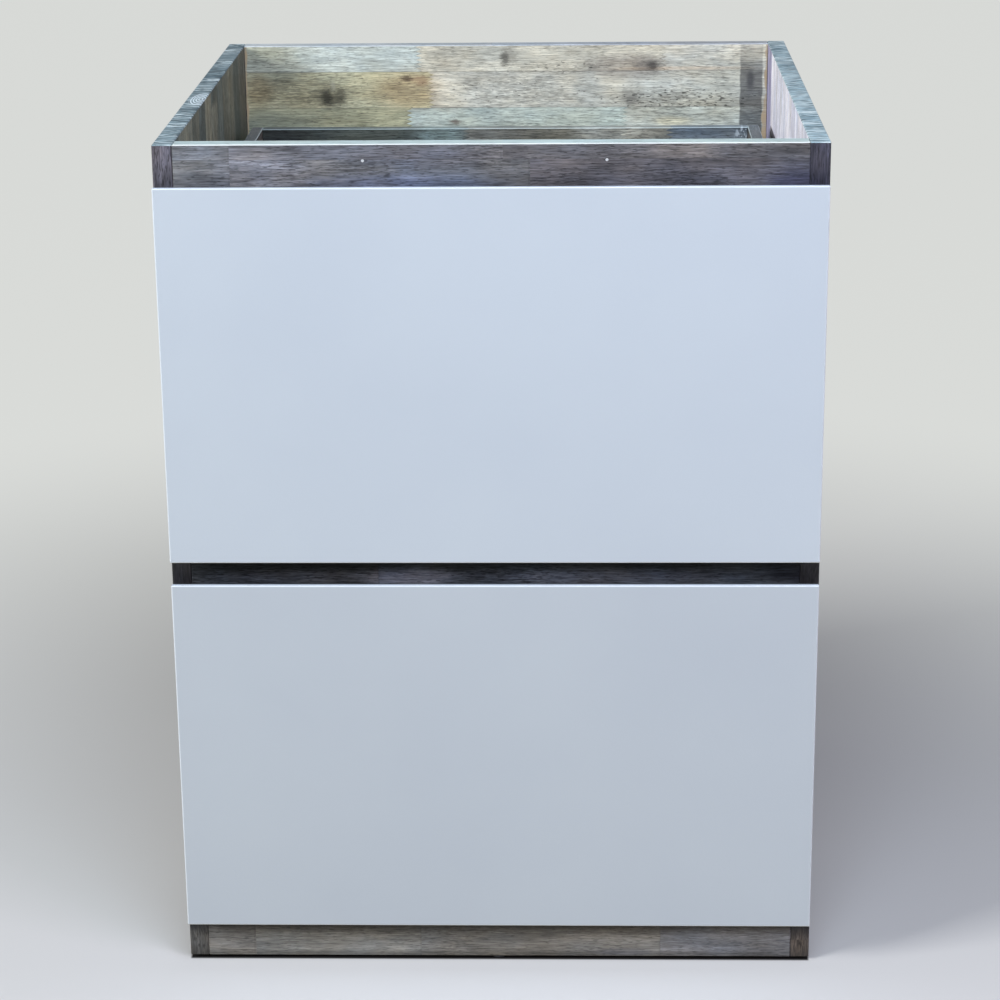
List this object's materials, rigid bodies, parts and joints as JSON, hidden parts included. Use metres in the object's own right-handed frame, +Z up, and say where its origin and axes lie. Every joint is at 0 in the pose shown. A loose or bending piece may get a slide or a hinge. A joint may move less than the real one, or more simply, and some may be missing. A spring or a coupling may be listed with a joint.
{
  "type": "kitchen drawer base unit",
  "caption": "Open-topped kitchen base unit in stained hardwood, with handleless lacquered drawers stacked in it on full-extension ball-bearing slides.",
  "frame": {"origin": "on the floor, at the middle of the overall width and depth, with the drawers closed", "axes": "+Z up, drawers open towards -Y, +X to the right seen from the front"},
  "size_m": [0.6, 0.6, 0.8],
  "materials": {
    "stained_hardwood": "grey stain under matt oil",
    "box_hardwood": "grey stain under matt oil",
    "tray_plywood": "grey stain",
    "lacquered_front": "satin lacquer on fibreboard",
    "dowel_beech": "raw",
    "zinc_steel": "bright zinc plate",
    "screw_steel": "zinc plate",
    "cage_steel": "yellow passivated",
    "ball_steel": "polished",
    "bumper_rubber": "translucent",
    "black_plastic": "moulded",
    "filler_paste": "dry paste"
  },
  "bodies": {
    "carcass": {"left_side_panel": "stained_hardwood", "right_side_panel": "stained_hardwood", "back_panel": "stained_hardwood", "bottom_panel": "stained_hardwood", "top_front_rail": "stained_hardwood", "middle_front_rail": "stained_hardwood", "plinth_rail": "stained_hardwood", "carcass_dowels": "dowel_beech", "floor_glides": "black_plastic", "rail_pin_fillings": "filler_paste", "upper_left_slide_outer": "zinc_steel", "upper_right_slide_outer": "zinc_steel", "lower_left_slide_outer": "zinc_steel", "lower_right_slide_outer": "zinc_steel", "slide_cabinet_screws": "screw_steel", "slide_end_buffers": "black_plastic"},
    "upper_drawer": {"upper_front": "lacquered_front", "upper_box_left_side": "box_hardwood", "upper_box_right_side": "box_hardwood", "upper_box_back": "box_hardwood", "upper_box_inner_front": "box_hardwood", "upper_box_bottom": "tray_plywood", "upper_box_dowels": "dowel_beech", "upper_front_screws": "screw_steel", "upper_bumpers": "bumper_rubber", "upper_left_slide_inner": "zinc_steel", "upper_right_slide_inner": "zinc_steel", "upper_slide_box_screws": "screw_steel"},
    "upper_slide_middles": {"upper_left_slide_middle": "zinc_steel", "upper_right_slide_middle": "zinc_steel"},
    "upper_outer_ball_cages": {"upper_left_outer_cage": "cage_steel", "upper_right_outer_cage": "cage_steel", "upper_outer_balls": "ball_steel"},
    "upper_inner_ball_cages": {"upper_left_inner_cage": "cage_steel", "upper_right_inner_cage": "cage_steel", "upper_inner_balls": "ball_steel"},
    "lower_drawer": {"lower_front": "lacquered_front", "lower_box_left_side": "box_hardwood", "lower_box_right_side": "box_hardwood", "lower_box_back": "box_hardwood", "lower_box_inner_front": "box_hardwood", "lower_box_bottom": "tray_plywood", "lower_box_dowels": "dowel_beech", "lower_front_screws": "screw_steel", "lower_bumpers": "bumper_rubber", "lower_left_slide_inner": "zinc_steel", "lower_right_slide_inner": "zinc_steel", "lower_slide_box_screws": "screw_steel"},
    "lower_slide_middles": {"lower_left_slide_middle": "zinc_steel", "lower_right_slide_middle": "zinc_steel"},
    "lower_outer_ball_cages": {"lower_left_outer_cage": "cage_steel", "lower_right_outer_cage": "cage_steel", "lower_outer_balls": "ball_steel"},
    "lower_inner_ball_cages": {"lower_left_inner_cage": "cage_steel", "lower_right_inner_cage": "cage_steel", "lower_inner_balls": "ball_steel"}
  },
  "joints": [
    {"name": "upper_drawer_slide", "type": "slide", "parent": "carcass", "child": "upper_drawer", "axis": [0, -1, 0], "range_m": [0, 0.5]},
    {"name": "upper_middle_slide", "type": "slide", "parent": "carcass", "child": "upper_slide_middles", "axis": [0, -1, 0], "range_m": [0, 0.25]},
    {"name": "upper_outer_cage_slide", "type": "slide", "parent": "carcass", "child": "upper_outer_ball_cages", "axis": [0, -1, 0], "range_m": [0, 0.125]},
    {"name": "upper_inner_cage_slide", "type": "slide", "parent": "carcass", "child": "upper_inner_ball_cages", "axis": [0, -1, 0], "range_m": [0, 0.375]},
    {"name": "lower_drawer_slide", "type": "slide", "parent": "carcass", "child": "lower_drawer", "axis": [0, -1, 0], "range_m": [0, 0.5]},
    {"name": "lower_middle_slide", "type": "slide", "parent": "carcass", "child": "lower_slide_middles", "axis": [0, -1, 0], "range_m": [0, 0.25]},
    {"name": "lower_outer_cage_slide", "type": "slide", "parent": "carcass", "child": "lower_outer_ball_cages", "axis": [0, -1, 0], "range_m": [0, 0.125]},
    {"name": "lower_inner_cage_slide", "type": "slide", "parent": "carcass", "child": "lower_inner_ball_cages", "axis": [0, -1, 0], "range_m": [0, 0.375]}
  ],
  "couplings": [
    {"joint": "upper_middle_slide", "follows": "upper_drawer_slide", "ratio": 0.5},
    {"joint": "upper_outer_cage_slide", "follows": "upper_drawer_slide", "ratio": 0.25},
    {"joint": "upper_inner_cage_slide", "follows": "upper_drawer_slide", "ratio": 0.75},
    {"joint": "lower_middle_slide", "follows": "lower_drawer_slide", "ratio": 0.5},
    {"joint": "lower_outer_cage_slide", "follows": "lower_drawer_slide", "ratio": 0.25},
    {"joint": "lower_inner_cage_slide", "follows": "lower_drawer_slide", "ratio": 0.75}
  ]
}
